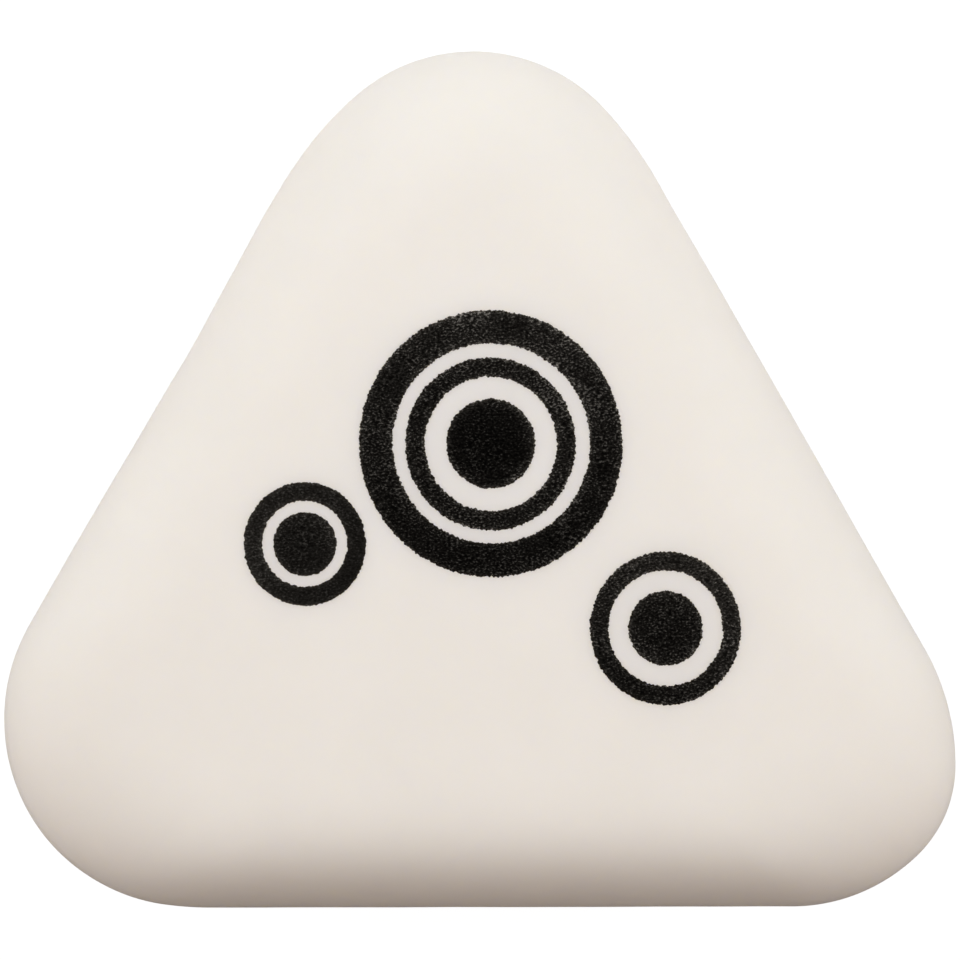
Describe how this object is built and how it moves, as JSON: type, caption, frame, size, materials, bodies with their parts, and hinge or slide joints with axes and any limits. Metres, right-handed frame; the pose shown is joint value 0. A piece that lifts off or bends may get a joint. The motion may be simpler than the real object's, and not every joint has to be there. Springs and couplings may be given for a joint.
{
  "type": "pencil eraser",
  "caption": "Hand-held block eraser: a rounded triangle of soft white vinyl with wide rounded edges, a slightly crowned face with printed black rings and dots, and a flat back to rest on.",
  "frame": {"origin": "on the flat back, under the middle of the outline's bounding box", "axes": "+Z out of the printed face, +Y towards the apex of the triangle, +X to the right as the face is seen with the apex up"},
  "size_m": [0.046, 0.0414, 0.015],
  "materials": {
    "eraser_vinyl": "soft matte, faintly translucent warm white vinyl",
    "printing_ink": "matte black printed ink with a fine grain and slightly ragged edges"
  },
  "bodies": {
    "root": {"eraser_body": "eraser_vinyl", "large_outer_ring": "printing_ink", "large_middle_ring": "printing_ink", "large_centre_dot": "printing_ink", "left_ring": "printing_ink", "left_dot": "printing_ink", "right_ring": "printing_ink", "right_dot": "printing_ink"}
  },
  "joints": []
}
